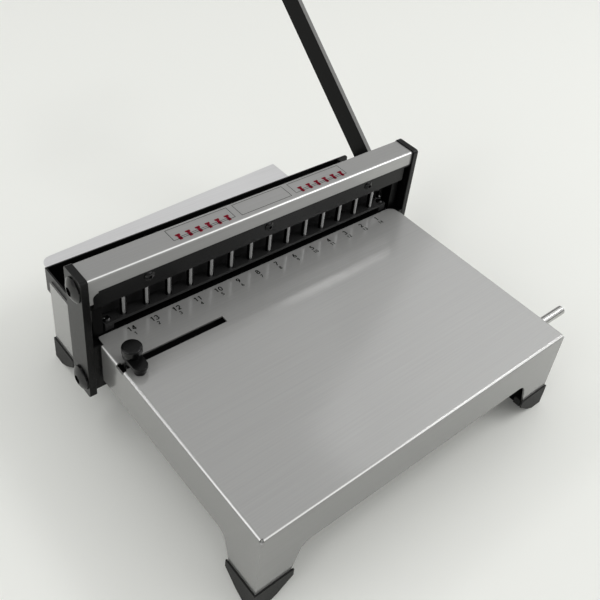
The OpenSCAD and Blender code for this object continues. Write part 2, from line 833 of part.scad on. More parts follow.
function pin_x(i) = pin_x0 + i * pin_pitch;
module die_bar() {
    color(black_paint) at_origin() difference() {
        union() {
            box([plate_x0, head_y0, die_z0], [plate_x1, head_y1, -sheet_t]);
            box([plate_x0, table_d + slide_gap, -sheet_t - tiny], [plate_x1, head_y1, die_z1]);
        }
        for (i = [0 : pin_n - 1]) translate([pin_x(i), pin_y, 0]) {
            translate([0, 0, die_z1 - die_land]) cylinder(h = die_land + over, d = pin_d + 4 * run_gap);
            translate([0, 0, die_z0 - over])
                cylinder(h = die_h - die_land + over, d = pin_d + 2 * die_relief);
        }
        both_sides() box([draw_x0 - slide_gap, stem_y0 - slide_gap, die_z0 - over],
            [draw_x1 + slide_gap, draw_y1 + slide_gap, over]);
        both_sides() translate([guide_seat_x, guide_screw_y, die_z1 - guide_screw_depth])
            cylinder(h = guide_screw_depth + over, d = small_hole_d);
        for (x = screw_row_x) small_hole_front(x, head_y0, apron_screw_z);
    }
}

// Angle over the paper slot: a ledge with a hole for each punch, and an upright behind the ram
module guide_bar() {
    color(tool_steel) at_origin() difference() {
        union() {
            box([guide_x0, guide_y0, guide_z0], [guide_x1, guide_y1, guide_z1]);
            box([guide_x0, guide_wall_y0, guide_z0], [guide_x1, guide_y1, guide_wall_z1]);
            both_sides() box([guide_x0, guide_y0, die_z1],
                [guide_x0 + guide_seat, guide_y1, guide_z0 + tiny]);
        }
        for (i = [0 : pin_n - 1]) translate([pin_x(i), pin_y, guide_z0 - over])
            cylinder(h = guide_h + 2 * over, d = pin_hole_d);
        box([guide_x0 - over, relief_y0, guide_z1 - relief_d],
            [guide_x1 + over, guide_wall_y0, guide_z1 + over]);
        both_sides() translate([guide_seat_x, guide_screw_y, die_z1 - over])
            cylinder(h = guide_z1 - die_z1 + 2 * over, d = small_hole_d);
    }
}

module guide_bar_screws() {
    color(black_paint) at_origin() both_sides() translate([guide_seat_x, guide_screw_y, guide_z1])
        button_screw(guide_seat - slide_gap, small_head_h, small_shank_d,
            guide_z1 - die_z1 + guide_screw_depth - tip_room);
}

// Black sheet under the throat, with a flange under the table's rear edge
module front_apron() {
    color(black_paint) at_origin() difference() {
        union() {
            box([plate_x0, head_y0 - sheet_t, -apron_drop], [plate_x1, head_y0, -sheet_t]);
            box([2 * sheet_t, head_y0 - apron_flange_d, -2 * sheet_t],
                [table_w - 2 * sheet_t, head_y0 - sheet_t + tiny, -sheet_t]);
        }
        for (x = screw_row_x) small_hole_front(x, head_y0 - sheet_t, apron_screw_z);
    }
}

module apron_screws() {
    color(black_paint) at_origin() for (x = screw_row_x)
        screw_front(x, head_y0 - sheet_t, apron_screw_z) small_screw();
}

module shaft_bush() {
    difference() {
        union() {
            bar_x(plate_x0 - plate_t, plate_x0 + bush_collar_t, axis_y, shaft_z, bush_d);
            bar_x(plate_x0, plate_x0 + bush_collar_t, axis_y, shaft_z, bush_collar_d);
        }
        bar_x(plate_x0 - plate_t - over, plate_x0 + bush_collar_t + over, axis_y, shaft_z, shaft_hole_d);
    }
}

module left_bush() {
    color(bronze) at_origin() shaft_bush();
}

module right_bush() {
    color(bronze) at_origin() right_side() shaft_bush();
}

// One crank: two round webs with the pin between them
module crank() {
    bar_x(web1_x0, web1_x1, axis_y, shaft_z, web_d);
    bar_x(web2_x0, web2_x1, axis_y, shaft_z, web_d);
    bar_x(web1_x1 - tiny, web2_x0 + tiny, crank_y, crank_z, crank_pin_d);
}

module crankshaft() {
    left_end = plate_x0 - plate_t - shaft_screw_gap;
    color(bright_steel) at_origin() difference() {
        union() {
            both_sides() crank();
            bar_x(left_end, web1_x0 + tiny, axis_y, shaft_z, shaft_d);
            bar_x(web2_x1 - tiny, table_w - web2_x1 + tiny, axis_y, shaft_z, shaft_d);
            bar_x(table_w - web1_x0 - tiny, lever_x1, axis_y, shaft_z, shaft_d);
        }
        bar_x(left_end - over, left_end + shaft_bore, axis_y, shaft_z, big_hole_d);
        bar_x(lever_x1 - shaft_bore, lever_x1 + over, axis_y, shaft_z, big_hole_d);
    }
}

// Large button screw with a shank that fits the shaft's bore
module shaft_screw() {
    button_screw(big_head_d, big_head_h, big_shank_d, shaft_bore - tip_room);
}

module shaft_end_screw() {
    color(black_paint) at_origin() screw_left(plate_x0 - plate_t - shaft_screw_gap, axis_y, shaft_z)
        shaft_screw();
}

module lever_screw() {
    color(black_paint) at_origin() translate([lever_x1, axis_y, shaft_z]) rotate([0, 90, 0]) shaft_screw();
}

module lever_washer() {
    color(bright_steel) at_origin() difference() {
        bar_x(washer_x0, lever_x0, axis_y, shaft_z, lever_washer_d);
        bar_x(washer_x0 - over, lever_x0 + over, axis_y, shaft_z, shaft_hole_d);
    }
}

// Flat bar with an eye on the shaft and a round end for the grip's rod, made upright and then leant
module lever_arm() {
    end_d = lever_w + 1;
    color(black_paint) at_origin() translate([lever_x0, axis_y, shaft_z]) rotate([-lever_tilt, 0, 0])
        difference() {
            union() {
                bar_x(0, lever_t, 0, 0, lever_eye_d);
                bar_x(0, lever_t, 0, lever_len, end_d);
                box([0, -lever_w / 2, 0], [lever_t, lever_w / 2, lever_len]);
            }
            bar_x(-over, lever_t + over, 0, 0, shaft_hole_d);
            bar_x(-over, lever_t + over, 0, lever_len, grip_hole_d);
        }
}

module grip_rod() {
    color(bright_steel) at_origin() {
        bar_x(lever_x0, grip_x1 - grip_end_t, grip_y, grip_z, grip_rod_d);
        bar_x(lever_x1, grip_x0, grip_y, grip_z, grip_shoulder_d);
    }
}

// Rubber grip with shallow finger grooves, turned about its own axis
module hand_grip() {
    r = grip_d / 2;
    grooves = floor(grip_len / grip_pitch) - 2;
    start = (grip_len - (grooves - 1) * grip_pitch) / 2;
    color(rubber) at_origin() translate([grip_x0, grip_y, grip_z]) rotate([0, 90, 0]) difference() {
        rotate_extrude() polygon(concat(
            [[0, 0]],
            arc([r - grip_round, grip_round], grip_round, -90, 0),
            arc([r - grip_round, grip_len - grip_round], grip_round, 0, 90),
            [[0, grip_len]]
        ));
        translate([0, 0, -over]) cylinder(h = grip_len - grip_end_t + over, d = grip_hole_d);
        for (i = [0 : grooves - 1]) translate([0, 0, start + i * grip_pitch]) rotate_extrude()
            translate([r + grip_groove_r - grip_groove, 0]) circle(r = grip_groove_r);
    }
}

module ram_bar() {
    color(tool_steel) at_origin() difference() {
        box([ram_x0, ram_y0, ram_z0], [ram_x1, ram_y0 + ram_d, ram_z1]);
        for (i = [0 : pin_n - 1]) translate([pin_x(i), pin_y, ram_z0 - over])
            cylinder(h = pin_seat + over, d = pin_hole_d);
        for (x = screw_row_x) small_hole_front(x, ram_y0 - strip_t, strip_screw_z);
        both_sides() translate([draw_screw_x, draw_screw_y, ram_z0 - over])
            cylinder(h = ram_h + 2 * over, d = small_hole_d);
        both_sides() translate([draw_screw_x, draw_screw_y, draw_screw_z])
            cylinder(h = ram_h, d = small_head_d + 2 * slide_gap);
    }
}

module punch_pins() {
    color(bright_steel) at_origin() for (i = [0 : pin_n - 1])
        translate([pin_x(i), pin_y, pin_z0]) cylinder(h = ram_z0 + pin_seat - pin_z0, d = pin_d);
}

module clamp_strip() {
    color(black_paint) at_origin() difference() {
        box([plate_x0 + strip_in, ram_y0 - strip_t, strip_z0], [plate_x1 - strip_in, ram_y0, ram_z1]);
        for (x = screw_row_x) small_hole_front(x, ram_y0 - strip_t, strip_screw_z);
    }
}

module clamp_strip_screws() {
    color(black_paint) at_origin() for (x = screw_row_x)
        screw_front(x, ram_y0 - strip_t, strip_screw_z) small_screw();
}

// Bar that pulls one end of the ram down, with a level slot for the crank pin, open to the front
module draw_bar() {
    difference() {
        union() {
            box([draw_x0, draw_y0, draw_z0], [draw_x1, draw_y1, jaw_z1]);
            box([draw_x0, stem_y0, draw_z0], [draw_x1, draw_y1, ram_z0]);
        }
        box([draw_x0 - over, draw_y0 - over, crank_z - crank_slot_h / 2],
            [draw_x1 + over, crank_slot_y1, crank_z + crank_slot_h / 2]);
        translate([draw_screw_x, draw_screw_y, draw_screw_z - draw_screw_len - tip_room])
            cylinder(h = draw_screw_len + tip_room, d = small_hole_d);
    }
}

module draw_bar_left() {
    color(black_paint) at_origin() draw_bar();
}

module draw_bar_right() {
    color(black_paint) at_origin() right_side() draw_bar();
}

module draw_bar_screws() {
    color(black_paint) at_origin() both_sides() translate([draw_screw_x, draw_screw_y, draw_screw_z])
        button_screw(small_head_d, small_head_h, small_shank_d, draw_screw_len);
}

// Hole for a small screw that comes from inside the trough
module trough_screw_hole(x) {
    translate([x, trough_y0 + trough_t, trough_screw_z]) rotate([-90, 0, 0])
        translate([0, 0, -small_shank_len]) cylinder(h = small_shank_len + over, d = small_hole_d);
}

// Front wall, floor and two ends of the trough
module rear_trough() {
    back_y = trough_y1 - trough_t;
    color(black_paint) at_origin() difference() {
        box([trough_x0, trough_y0, -trough_drop], [trough_x1, back_y, trough_top]);
        box([trough_x0 + trough_t, trough_y0 + trough_t, -trough_drop + trough_t],
            [trough_x1 - trough_t, back_y + over, trough_top + over]);
        for (x = screw_row_x) trough_screw_hole(x);
    }
}

// Rear wall of the trough, a plate that runs on past the right end
module trough_back() {
    tail_x = trough_x1 + trough_tail;
    color(black_paint) at_origin() difference() {
        front_sheet(trough_y1 - trough_t, trough_t) polygon(concat(
            [[trough_x0, trough_top], [trough_x0, -trough_drop], [tail_x, -trough_drop]],
            arc([tail_x - trough_r, trough_top - trough_r], trough_r, 0, 90)
        ));
        for (x = shelf_rivet_x) shelf_rivet_hole(x);
    }
}

module trough_screws() {
    color(black_paint) at_origin() for (x = screw_row_x)
        translate([x, trough_y0 + trough_t, trough_screw_z]) rotate([-90, 0, 0])
            button_screw(small_head_d, small_head_h, small_shank_d, trough_t + sheet_t);
}

module shelf_rivet_hole(x) {
    translate([x, trough_y1, shelf_rivet_z]) rotate([90, 0, 0])
        cylinder(h = 4 * (shelf_t + trough_t), d = rivet_d + 2 * run_gap, center = true);
}

// Level plate behind the trough; its rear edge runs out towards the right
module rear_shelf() {
    skew = atan((shelf_d1 - shelf_d0) / (shelf_x1 - shelf_x0));
    corner = [shelf_x0 + shelf_r, trough_y1 + shelf_d0 - shelf_r];
    color(stainless) at_origin() difference() {
        union() {
            translate([0, 0, -shelf_t]) linear_extrude(shelf_t) polygon(concat(
                [[shelf_x0, trough_y1], [shelf_x1, trough_y1], [shelf_x1, trough_y1 + shelf_d1]],
                arc(corner, shelf_r, 90 + skew, 180)
            ));
            box([shelf_x0, trough_y1, -shelf_flange_h], [shelf_x1, trough_y1 + shelf_t, -shelf_t + tiny]);
        }
        for (x = shelf_rivet_x) shelf_rivet_hole(x);
    }
}

module shelf_rivets() {
    color(bright_steel) at_origin() for (x = shelf_rivet_x)
        translate([x, trough_y1 + shelf_t, shelf_rivet_z]) rotate([-90, 0, 0]) {
            cylinder(h = rivet_head_h, d1 = rivet_head_d, d2 = rivet_head_d / 2);
            translate([0, 0, -shelf_t - trough_t]) cylinder(h = shelf_t + trough_t + tiny, d = rivet_d);
        }
}

module chip_tray() {
    color(zinc_sheet) at_origin() {
        difference() {
            box([tray_x0, tray_y0, tray_z0], [tray_x0 + tray_w, tray_y1, tray_z1]);
            box([tray_x0 + tray_t, tray_y0 + tray_t, tray_z0 + tray_t],
                [tray_x0 + tray_w - tray_t, tray_y1 - tray_t, tray_z1 + over]);
        }
        both_sides() box([tray_x0 - tray_rim_w, tray_y0, tray_z1 - tray_t],
            [tray_x0 + tiny, tray_y1, tray_z1]);
        box([mid_x - tray_pull_w / 2, tray_y1 - tiny, tray_z1 - tray_pull_t],
            [mid_x + tray_pull_w / 2, tray_y1 + tray_pull_d, tray_z1]);
    }
}

// Two angles hung under the trough that carry the tray by its rims
module tray_runners() {
    web_x0 = tray_x0 - tray_rim_w - runner_gap - runner_t;
    runner_y0 = trough_y0 + runner_setback;
    ledge_z1 = tray_z1 - tray_t - runner_gap;
    color(black_paint) at_origin() both_sides() {
        box([web_x0, runner_y0, ledge_z1 - runner_t], [web_x0 + runner_t, tray_y1, -trough_drop]);
        box([web_x0, runner_y0, ledge_z1 - runner_t], [tray_x0 - runner_gap, tray_y1, ledge_z1]);
    }
}

// Hat-shaped channel under the table's slot, in which the stud's head slides
module guide_channel() {
    x0 = sheet_t + fit_gap;
    x1 = guide_slot_len + channel_past;
    half_w = stud_head_d / 2 + slide_gap;
    wall_w = half_w + channel_t;
    flange_w = wall_w + channel_flange_w;
    color(black_paint) at_origin() translate([0, guide_slot_y, -sheet_t]) difference() {
        union() {
            box([x0, -wall_w, -channel_h - channel_t], [x1 + channel_t, wall_w, 0]);
            box([x0, -flange_w, -channel_t], [x1 + channel_t, flange_w, 0]);
        }
        box([x0 - over, -half_w, -channel_h], [x1, half_w, over]);
    }
}

// Arm of the side guide: a flat bar with round ends
module side_guide_arm() {
    color(black_paint) at_origin() difference() {
        union() {
            for (y = [guide_slot_y + guide_arm_tail, guide_post_y]) translate([guide_stud_x, y, guide_arm_z])
                cylinder(h = guide_arm_t, d = guide_arm_w);
            box([guide_stud_x - guide_arm_w / 2, guide_post_y, guide_arm_z],
                [guide_stud_x + guide_arm_w / 2, guide_slot_y + guide_arm_tail, guide_arm_z1]);
        }
        translate([guide_stud_x, guide_slot_y, guide_arm_z - over])
            cylinder(h = guide_arm_t + 2 * over, d = stud_hole_d);
    }
}

module side_guide_post() {
    color(black_paint) at_origin() translate([guide_stud_x, guide_post_y, guide_lift])
        cylinder(h = guide_arm_z - guide_lift, d = guide_post_d);
}

module side_guide_spacer() {
    color(black_paint) at_origin() difference() {
        translate([guide_stud_x, guide_slot_y, guide_lift])
            cylinder(h = guide_arm_z - guide_lift, d = guide_post_d);
        translate([guide_stud_x, guide_slot_y, guide_lift - over])
            cylinder(h = guide_arm_z + 2 * over, d = stud_hole_d);
    }
}

// Stud through the slot, with a flat head under the table
module side_guide_stud() {
    color(bright_steel) at_origin() translate([guide_stud_x, guide_slot_y, 0]) {
        translate([0, 0, -sheet_t - guide_lift - stud_head_t]) cylinder(h = stud_head_t, d = stud_head_d);
        translate([0, 0, -sheet_t - guide_lift - tiny])
            cylinder(h = guide_arm_z1 + knob_bore + sheet_t + guide_lift, d = guide_stud_d);
    }
}

// Clamp knob: a turned disc with rounded edges on a narrower neck
module side_guide_knob() {
    r = knob_d / 2 - knob_r;
    neck = knob_neck_h;
    color(black_paint) at_origin() translate([guide_stud_x, guide_slot_y, guide_arm_z1 + knob_gap])
        difference() {
            rotate_extrude() polygon(concat(
                [[0, 0], [knob_neck_d / 2, 0], [knob_neck_d / 2, neck]],
                arc([r, neck + knob_r], knob_r, -90, 0),
                arc([r, knob_h - knob_r], knob_r, 0, 90),
                [[0, knob_h]]
            ));
            translate([0, 0, -over]) cylinder(h = knob_bore + over, d = stud_hole_d);
        }
}

// Pull-out rod with a chamfered outer end
module support_rod() {
    color(bright_steel) at_origin() {
        bar_x(rod_x0, rod_x1 - rod_chamfer, rod_row, -rod_drop, rod_d);
        translate([rod_x1 - rod_chamfer - tiny, rod_row, -rod_drop]) rotate([0, 90, 0])
            cylinder(h = rod_chamfer + tiny, d1 = rod_d, d2 = rod_d - 2 * rod_chamfer);
    }
}

module rod_collar() {
    collar_x0 = rod_x0 + rod_collar_in;
    color(black_paint) at_origin() difference() {
        bar_x(collar_x0, collar_x0 + rod_collar_w, rod_row, -rod_drop, rod_collar_d);
        bar_x(collar_x0 - over, collar_x0 + rod_collar_w + over, rod_row, -rod_drop, rod_hole_d);
    }
}

// Angle under the table that carries the rod
module rod_bracket() {
    half_w = rod_d / 2 + rod_wall;
    color(black_paint) at_origin() difference() {
        union() {
            box([bracket_x0, rod_row - half_w, -rod_drop - half_w],
                [bracket_x0 + rod_bracket_t, rod_row + half_w, -sheet_t]);
            box([bracket_x0 - rod_flange, rod_row - half_w, -sheet_t - rod_bracket_t],
                [bracket_x0 + tiny, rod_row + half_w, -sheet_t]);
        }
        bar_x(bracket_x0 - over, bracket_x0 + rod_bracket_t + over, rod_row, -rod_drop, rod_hole_d);
    }
}

table();
rear_base();
foot_front_left();
foot_front_right();
foot_rear_left();
foot_rear_right();
left_end_plate();
right_end_plate();
tie_bar();
tie_bar_screws();
head_cover();
die_bar();
guide_bar();
guide_bar_screws();
front_apron();
apron_screws();
left_bush();
right_bush();
crankshaft();
shaft_end_screw();
lever_washer();
lever_arm();
lever_screw();
grip_rod();
hand_grip();
ram_bar();
punch_pins();
clamp_strip();
clamp_strip_screws();
draw_bar_left();
draw_bar_right();
draw_bar_screws();
rear_trough();
trough_back();
trough_screws();
rear_shelf();
shelf_rivets();
chip_tray();
tray_runners();
guide_channel();
side_guide_arm();
side_guide_post();
side_guide_spacer();
side_guide_stud();
side_guide_knob();
support_rod();
rod_collar();
rod_bracket();
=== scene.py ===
"""Looks of the binding punch: materials, printed marks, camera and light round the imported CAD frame."""
import json
import math

import bpy
import numpy as np
from mathutils import Matrix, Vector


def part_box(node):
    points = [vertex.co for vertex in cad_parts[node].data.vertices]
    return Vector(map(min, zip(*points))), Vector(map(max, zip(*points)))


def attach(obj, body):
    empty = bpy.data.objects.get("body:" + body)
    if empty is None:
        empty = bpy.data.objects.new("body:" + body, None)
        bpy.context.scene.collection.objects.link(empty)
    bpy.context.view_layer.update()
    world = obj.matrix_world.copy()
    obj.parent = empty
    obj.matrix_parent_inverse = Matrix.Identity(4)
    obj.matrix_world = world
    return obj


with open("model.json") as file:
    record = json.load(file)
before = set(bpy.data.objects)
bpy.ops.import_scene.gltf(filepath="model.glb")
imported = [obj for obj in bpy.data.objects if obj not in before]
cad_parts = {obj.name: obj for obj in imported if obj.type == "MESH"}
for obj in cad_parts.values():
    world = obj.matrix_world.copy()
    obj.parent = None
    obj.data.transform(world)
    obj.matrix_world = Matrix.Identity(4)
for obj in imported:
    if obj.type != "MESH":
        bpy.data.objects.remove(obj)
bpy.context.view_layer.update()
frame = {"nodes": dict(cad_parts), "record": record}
nodes = frame["nodes"]
MM = 0.001

# Table millimetres count from the table's front left top corner
TABLE_LO, TABLE_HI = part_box("table")
ORIGIN = np.array([TABLE_LO.x, TABLE_LO.y, TABLE_HI.z])


def row(p):
    """Table millimetres to row-frame metres."""
    return ORIGIN + np.asarray(p, float) * MM


# Materials


def linear(hex_colour):
    """An sRGB hex colour as the four linear numbers a shader socket takes."""
    c = np.array([int(hex_colour[i:i + 2], 16) for i in (1, 3, 5)]) / 255
    lin = np.where(c <= 0.04045, c / 12.92, ((c + 0.055) / 1.055) ** 2.4)
    return (*lin, 1.0)


def add(mat, kind, values=(), links=()):
    """Adds one shader node, sets its sockets by name or place and links others into it."""
    node = mat.node_tree.nodes.new(kind)
    for name, value in dict(values).items():
        if isinstance(name, int) or name in node.inputs:
            node.inputs[name].default_value = value
        else:
            setattr(node, name, value)
    for name, source in dict(links).items():
        mat.node_tree.links.new(source, node.inputs[name])
    return node


def shader(name, colour, metallic, roughness, **more):
    """A material whose one principled shader carries these constants."""
    mat = bpy.data.materials.new(name)
    mat.use_nodes = True
    bsdf = mat.node_tree.nodes["Principled BSDF"]
    bsdf.inputs["Base Color"].default_value = linear(colour)
    bsdf.inputs["Metallic"].default_value = metallic
    bsdf.inputs["Roughness"].default_value = roughness
    for key, value in more.items():
        bsdf.inputs[key].default_value = value
    return mat, bsdf


# Brush strokes and bundles of them per metre along X, Y and Z
STROKES_PER_M = (8, 6500, 6500)
BUNDLES_PER_M = (12, 700, 700)
# How far a bundle of brush strokes departs from the sheet's tone
STREAK = 0.07
# Rise of a bend's normal where its painted highlight band starts, is full, starts to fade and ends
HIGHLIGHT_BAND_RISE = (0.45, 0.6, 0.78, 0.92)


def brushed(name, colour, roughness, spread, anisotropic=0.0, bend_highlight=None, upright_painted_tone=None, metallic=1.0,
            **more):
    """Metal with hair-fine strokes along X, 120 mm long and 0.15 mm wide, that smear reflections.

    The strokes lie in bundles about 80 mm long and 1.4 mm wide, some a little darker than others.
    With a bend highlight colour, the bends get a painted highlight band and the upright faces a painted
    tone of their own.
    """
    mat, bsdf = shader(name, colour, metallic, roughness, Anisotropic=anisotropic, **more)
    link = mat.node_tree.links.new
    across = add(mat, "ShaderNodeCombineXYZ", {"X": 0.0, "Y": 1.0, "Z": 1.0})
    link(across.outputs["Vector"], bsdf.inputs["Tangent"])
    place = add(mat, "ShaderNodeTexCoord").outputs["Object"]
    strokes = add(mat, "ShaderNodeMapping", {"Scale": STROKES_PER_M}, {"Vector": place})
    grain = add(mat, "ShaderNodeTexNoise", {"Scale": 1.0, "Detail": 3.0},
                {"Vector": strokes.outputs["Vector"]})
    rough = add(mat, "ShaderNodeMapRange",
                {"To Min": roughness - spread, "To Max": roughness + spread},
                {"Value": grain.outputs["Fac"]})
    link(rough.outputs["Result"], bsdf.inputs["Roughness"])
    bundles = add(mat, "ShaderNodeMapping", {"Scale": BUNDLES_PER_M}, {"Vector": place})
    streak = add(mat, "ShaderNodeTexNoise", {"Scale": 1.0, "Detail": 2.0},
                 {"Vector": bundles.outputs["Vector"]})
    tone = add(mat, "ShaderNodeMapRange", {"To Min": 1 - STREAK, "To Max": 1 + STREAK},
               {"Value": streak.outputs["Fac"]})
    shade = add(mat, "ShaderNodeHueSaturation", {"Color": linear(colour)},
                {"Value": tone.outputs["Result"]})
    link(shade.outputs["Color"], bsdf.inputs["Base Color"])
    if bend_highlight:
        # Painted light: the face's normal picks a pale highlight band on the bends and a painted tone on
        # the upright faces
        face = add(mat, "ShaderNodeNewGeometry")
        rise = add(mat, "ShaderNodeSeparateXYZ", links={"Vector": face.outputs["Normal"]})
        painted_light_ramp = add(mat, "ShaderNodeValToRGB", links={"Fac": rise.outputs["Z"]})
        steps = painted_light_ramp.color_ramp.elements
        steps[0].position, steps[1].position = HIGHLIGHT_BAND_RISE[0], HIGHLIGHT_BAND_RISE[3]
        steps[0].color, steps[1].color = linear(upright_painted_tone), linear(colour)
        for height in HIGHLIGHT_BAND_RISE[1:3]:
            steps.new(height).color = linear(bend_highlight)
        link(painted_light_ramp.outputs["Color"], shade.inputs["Color"])
    return mat


# Pale facing: agreement of a face with the given direction from which it brightens and is fully bright,
# how far spots in the skin shift that, and the size of the spots
FACING_START, FACING_FULL = 0.87, 0.92
FACING_SHIFT, FACING_SPOT_MM = -0.06, 1.5


def pale_facing(name, dark, bright, roughness, facing, metallic=1.0, **more):
    """A dark skin made pale, with a ragged edge, where its own face looks along a direction; on the
    punches a painted highlight.
    """
    mat, bsdf = shader(name, dark, metallic, roughness, **more)
    coord = add(mat, "ShaderNodeTexCoord")
    turn = add(mat, "ShaderNodeVectorMath", {"operation": "DOT_PRODUCT", 1: facing},
               {0: coord.outputs["Normal"]})
    spots = add(mat, "ShaderNodeTexNoise", {"Scale": 1 / (FACING_SPOT_MM * MM), "Detail": 3.0},
                {"Vector": coord.outputs["Object"]})
    ragged = add(mat, "ShaderNodeMath", {"operation": "MULTIPLY_ADD", 1: FACING_SHIFT},
                 {0: spots.outputs["Fac"], 2: turn.outputs["Value"]})
    # Pale tone on faces looking along the given direction; on the punches a painted highlight
    facing_tone = add(mat, "ShaderNodeValToRGB", links={"Fac": ragged.outputs["Value"]})
    steps = facing_tone.color_ramp.elements
    steps[0].position, steps[1].position = FACING_START, FACING_FULL
    steps[0].color, steps[1].color = linear(dark), linear(bright)
    mat.node_tree.links.new(facing_tone.outputs["Color"], bsdf.inputs["Base Color"])
    return mat


# Share by which a skin is duller in its hollows and shinier on its grains
DULLING = 0.25


def speckled(name, colour, roughness, size_mm, depth_mm, specular=0.5):
    """Paint, rubber, plastic or ink: a fine random relief of this grain and depth, dull in its hollows."""
    mat, bsdf = shader(name, colour, 0.0, roughness, **{"Specular IOR Level": specular})
    coord = add(mat, "ShaderNodeTexCoord")
    grain = add(mat, "ShaderNodeTexNoise", {"Scale": 1 / (size_mm * MM), "Detail": 2.0},
                {"Vector": coord.outputs["Object"]})
    bump = add(mat, "ShaderNodeBump", {"Strength": 1.0, "Distance": depth_mm * MM},
               {"Height": grain.outputs["Fac"]})
    mat.node_tree.links.new(bump.outputs["Normal"], bsdf.inputs["Normal"])
    rough = add(mat, "ShaderNodeMapRange",
                {"To Min": (1 + DULLING) * roughness, "To Max": (1 - DULLING) * roughness},
                {"Value": grain.outputs["Fac"]})
    mat.node_tree.links.new(rough.outputs["Result"], bsdf.inputs["Roughness"])
    return mat


# Satin stainless: pale grey with soft, wide reflections under a weak clearer one, and a painted highlight
# on the bends
SATIN = {"roughness": 0.45, "spread": 0.05, "anisotropic": 0.8}
CLEAR = {"Coat Weight": 1.0, "Coat Roughness": 0.12, "Coat IOR": 1.8}
PAINTED_BEND_HIGHLIGHT = "#f6f6f4"
# Table sheet: its upright faces, the skirts, take a darker tone, a painted shade
stainless = brushed("satin stainless", "#9e9e9c", **SATIN, bend_highlight=PAINTED_BEND_HIGHLIGHT, upright_painted_tone="#7b7b79", metallic=0.3,
                    **CLEAR)
# Cover: the same sheet, its lip and other upright faces painted paler: painted light
cover_steel = brushed("satin stainless cover", "#949492", **SATIN, bend_highlight=PAINTED_BEND_HIGHLIGHT, upright_painted_tone="#a4a4a2",
                      metallic=0.55, **CLEAR)
# Shelf sheet: the same metal, without the clearer reflection; its much paler tone is painted light
shelf_painted_light = brushed("stainless with painted light", "#dcdcdc", **SATIN, metallic=0.4)
# Black powder paint: half-gloss, faint orange peel
black_paint = speckled("black powder paint", "#0b0b0b", 0.3, 0.8, 0.004, specular=0.25)
# Black oxide on screws: a tighter, stronger shine than the paint's
black_oxide = speckled("black oxide steel", "#0b0b0b", 0.22, 0.5, 0.003)
# Rubber: matt, no clear reflections
rubber = speckled("black rubber", "#121211", 0.55, 0.6, 0.01, specular=0.35)
# Ground steel: smooth, with a bright line between dark edges
ground = brushed("ground steel", "#b4b4b2", 0.25, 0.0)
# Punches: blackened steel with a painted highlight, a pale line down the faces that look to the front and
# a little left
punch_steel = pale_facing("hardened punch steel", "#1c1c1c", "#d8d8d8", 0.15, (-0.39, -0.92, 0.0))
# Lever: dull black paint, grey where its faces look to the front and up
lever_paint = pale_facing("black paint grey facing front and up", "#070707", "#80807e", 0.4, (0.0, -0.64, 0.77), metallic=0.0,
                     **{"Specular IOR Level": 0.1})
# Guide bar: phosphated steel, a dull dark grey between the punches
guide_steel = speckled("phosphated steel", "#2c2c2c", 0.45, 0.6, 0.003, specular=0.3)
# Die and ram: blackened tool steel, almost without shine
tool_steel = speckled("blackened tool steel", "#060606", 0.35, 0.6, 0.003, specular=0.1)
# Bushes: turned bronze, the one warm tone inside the head
bronze = brushed("turned bronze", "#b08a52", 0.3, 0.05)
# Drawer: zinc sheet, a dull blue-grey
zinc = brushed("zinc sheet", "#9a9c9e", 0.45, 0.06)
# Knob: moulded plastic, deep black with a tight highlight
plastic = speckled("black moulded plastic", "#070707", 0.18, 0.7, 0.002, specular=0.3)
# Printing inks: flat, with hardly any shine
ink = speckled("black printing ink", "#0c0c0c", 0.6, 0.4, 0.002, specular=0.1)
red_ink = speckled("red printing ink", "#7c0a22", 0.5, 0.4, 0.002, specular=0.1)

# The material of each record slot, and of the nodes that depart from their slot's
LOOK = {"stainless_sheet": stainless, "black_paint": black_paint, "black_screws": black_oxide,
        "black_rubber": rubber, "tool_steel": tool_steel, "bright_steel": ground, "bronze": bronze,
        "tray_sheet": zinc, "black_knob": plastic}
OWN_LOOK = {"rear_shelf": shelf_painted_light, "head_cover": cover_steel, "punch_pins": punch_steel,
            "guide_bar": guide_steel, "lever_arm": lever_paint}
for part in frame["record"]["subparts"]:
    mesh = nodes[part["node"]].data
    mesh.materials.clear()
    mesh.materials.append(OWN_LOOK.get(part["node"], LOOK[part["material_slot"]]))

# New pieces


def piece(name, verts_mm, faces, mat, body, slot_name):
    """One mesh from table millimetres and face indices; it rides a CAD body. Its slot name is not used."""
    mesh = bpy.data.meshes.new(name)
    mesh.from_pydata(row(verts_mm).tolist(), [], np.asarray(faces).tolist())
    mesh.materials.append(mat)
    obj = bpy.data.objects.new(name, mesh)
    bpy.context.scene.collection.objects.link(obj)
    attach(obj, body)


def strips(paths, widths, z):
    """Flat strokes: each path's points p(s) become p(s) +- w/2 n(s), n the path's normal, at height z."""
    verts, faces, start = [], [], 0
    for path, width in zip(paths, widths):
        p = np.asarray(path, float)
        step = np.gradient(p, axis=0)
        n = np.stack([-step[:, 1], step[:, 0]], 1) / np.linalg.norm(step, axis=1, keepdims=True)
        edge = np.stack([p - n * width / 2, p + n * width / 2], 1).reshape(-1, 2)
        verts.append(np.column_stack([edge, np.full(len(edge), z)]))
        k = start + 2 * np.arange(len(p) - 1)
        faces.append(np.stack([k, k + 2, k + 3, k + 1], 1))
        start += len(edge)
    return np.concatenate(verts), np.concatenate(faces)


def curve(cx, cy, rx, ry, a0, a1, n=14):
    """Points of an ellipse's arc between two angles in degrees."""
    a = np.radians(np.linspace(a0, a1, n))
    return np.column_stack([cx + rx * np.cos(a), cy + ry * np.sin(a)])


def loop(cx, cy, rx, ry):
    """Points of a whole ellipse."""
    return curve(cx, cy, rx, ry, 0, 360, 24)


def line(*points):
    """One straight stroke through the given points."""
    return np.array(points, float)


